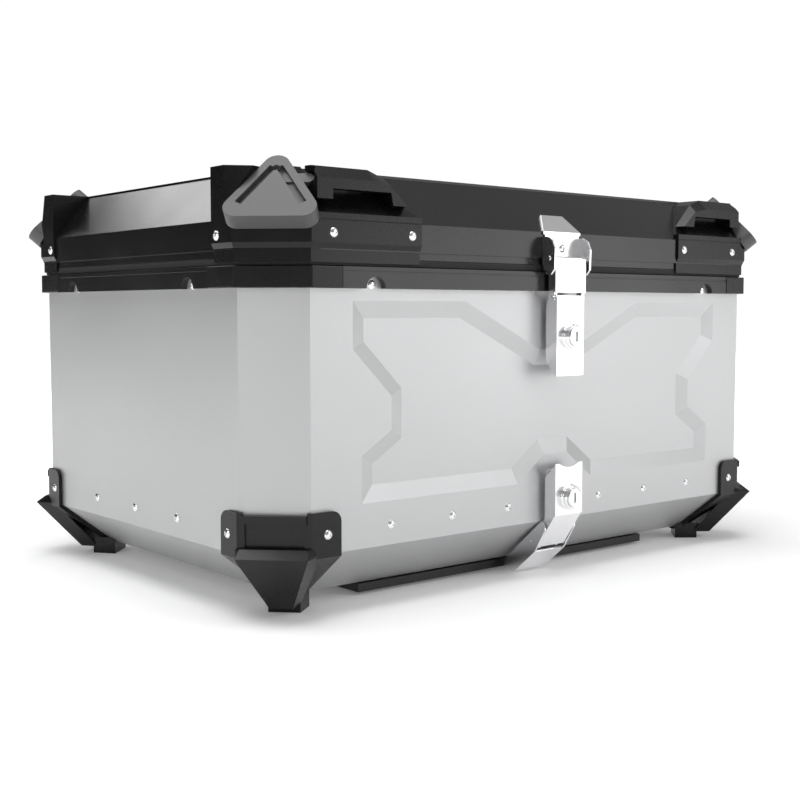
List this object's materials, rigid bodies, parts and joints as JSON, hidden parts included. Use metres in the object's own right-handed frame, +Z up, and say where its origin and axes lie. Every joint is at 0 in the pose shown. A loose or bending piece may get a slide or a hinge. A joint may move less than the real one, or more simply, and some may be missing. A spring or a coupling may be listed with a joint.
{
  "type": "top case",
  "caption": "Hard aluminium motorcycle top case with a hinged lid, key-locked clasp, quick-release base plate, corner guards and carry loops.",
  "frame": {"origin": "on the ground under the middle of the case, which stands on the feet of its corner guards", "axes": "+X along the long side, -Y towards the lock side, +Z up"},
  "size_m": [0.6178, 0.4405, 0.3419],
  "materials": {
    "sheet_aluminium": "satin anodised, clear",
    "black_rail": "black semi-gloss powder coat",
    "black_plastic": "moulded, fine grain",
    "bumper_plastic": "moulded, satin grey-black",
    "seal_rubber": "matte",
    "plate_plastic": "moulded, ribbed underside",
    "hinge_steel": "brushed",
    "lock_metal": "polished",
    "fastener_steel": "bright",
    "latch_steel": "polished stainless"
  },
  "bodies": {
    "case": {"bottom_pan": "sheet_aluminium", "case_rivets": "fastener_steel", "case_tongue_left": "hinge_steel", "case_tongue_right": "hinge_steel", "case_walls": "sheet_aluminium", "corner_guard_back_left": "black_plastic", "corner_guard_back_right": "black_plastic", "corner_guard_front_left": "black_plastic", "corner_guard_front_right": "black_plastic", "guard_screws": "fastener_steel", "hinge_case_leaf_left": "hinge_steel", "hinge_case_leaf_right": "hinge_steel", "hinge_pins": "hinge_steel", "lower_latch_base": "latch_steel", "lower_lever_pin": "latch_steel", "rim_corner_back_left": "black_plastic", "rim_corner_back_right": "black_plastic", "rim_corner_front_left": "black_plastic", "rim_corner_front_right": "black_plastic", "rim_rail_back": "black_rail", "rim_rail_front": "black_rail", "rim_rail_left": "black_rail", "rim_rail_right": "black_rail", "rim_screws": "fastener_steel", "upper_strike_plate": "latch_steel"},
    "lid": {"hinge_lid_leaf_left": "hinge_steel", "hinge_lid_leaf_right": "hinge_steel", "lid_bumper_back_left": "bumper_plastic", "lid_bumper_back_right": "bumper_plastic", "lid_bumper_front_left": "bumper_plastic", "lid_bumper_front_right": "bumper_plastic", "lid_corner_back_left": "black_plastic", "lid_corner_back_right": "black_plastic", "lid_corner_front_left": "black_plastic", "lid_corner_front_right": "black_plastic", "lid_rail_back": "black_rail", "lid_rail_front": "black_rail", "lid_rail_left": "black_rail", "lid_rail_right": "black_rail", "lid_screws": "fastener_steel", "lid_seal": "seal_rubber", "lid_top_panel": "sheet_aluminium", "upper_keeper": "latch_steel", "upper_keeper_pin": "latch_steel"},
    "upper_link": {"upper_link": "latch_steel", "upper_lever_pin": "latch_steel"},
    "upper_lever": {"upper_lever": "latch_steel", "upper_lock_housing": "latch_steel"},
    "upper_lock": {"upper_lock_plug": "lock_metal", "upper_lock_cam": "latch_steel"},
    "lower_lever": {"lower_lever": "latch_steel", "lower_lock_housing": "latch_steel", "lower_hook_rivets": "fastener_steel"},
    "lower_lock": {"lower_lock_plug": "lock_metal", "lower_lock_cam": "latch_steel"},
    "lower_hook": {"lower_hook": "latch_steel"},
    "base_plate": {"base_plate": "plate_plastic", "base_plate_pads": "seal_rubber"}
  },
  "joints": [
    {"name": "lid_hinge", "type": "hinge", "parent": "case", "child": "lid", "pos_m": [0, 0.2125, 0.264], "axis": [-1, 0, 0], "range_deg": [0, 95]},
    {"name": "clasp_link", "type": "hinge", "parent": "lid", "child": "upper_link", "pos_m": [0, -0.212, 0.272], "axis": [-1, 0, 0], "range_deg": [0, 110]},
    {"name": "clasp_lever", "type": "hinge", "parent": "upper_link", "child": "upper_lever", "pos_m": [0, -0.213, 0.2405], "axis": [-1, 0, 0], "range_deg": [0, 80]},
    {"name": "upper_key", "type": "hinge", "parent": "upper_lever", "child": "upper_lock", "pos_m": [0, -0.216, 0.207], "axis": [0, -1, 0], "range_deg": [0, 90]},
    {"name": "release_lever", "type": "hinge", "parent": "case", "child": "lower_lever", "pos_m": [0, -0.1905, 0.027], "axis": [1, 0, 0], "range_deg": [0, 50]},
    {"name": "hook_link", "type": "hinge", "parent": "lower_lever", "child": "lower_hook", "pos_m": [0, -0.189, 0.032], "axis": [1, 0, 0], "range_deg": [-50, 0]},
    {"name": "lower_key", "type": "hinge", "parent": "lower_lever", "child": "lower_lock", "pos_m": [0, -0.216, 0.071], "axis": [0, -1, 0], "range_deg": [0, 90]},
    {"name": "plate_slide", "type": "slide", "parent": "case", "child": "base_plate", "axis": [0, 1, 0], "range_m": [0, 0.02]}
  ],
  "couplings": [
    {"joint": "hook_link", "follows": "release_lever", "ratio": -1}
  ]
}
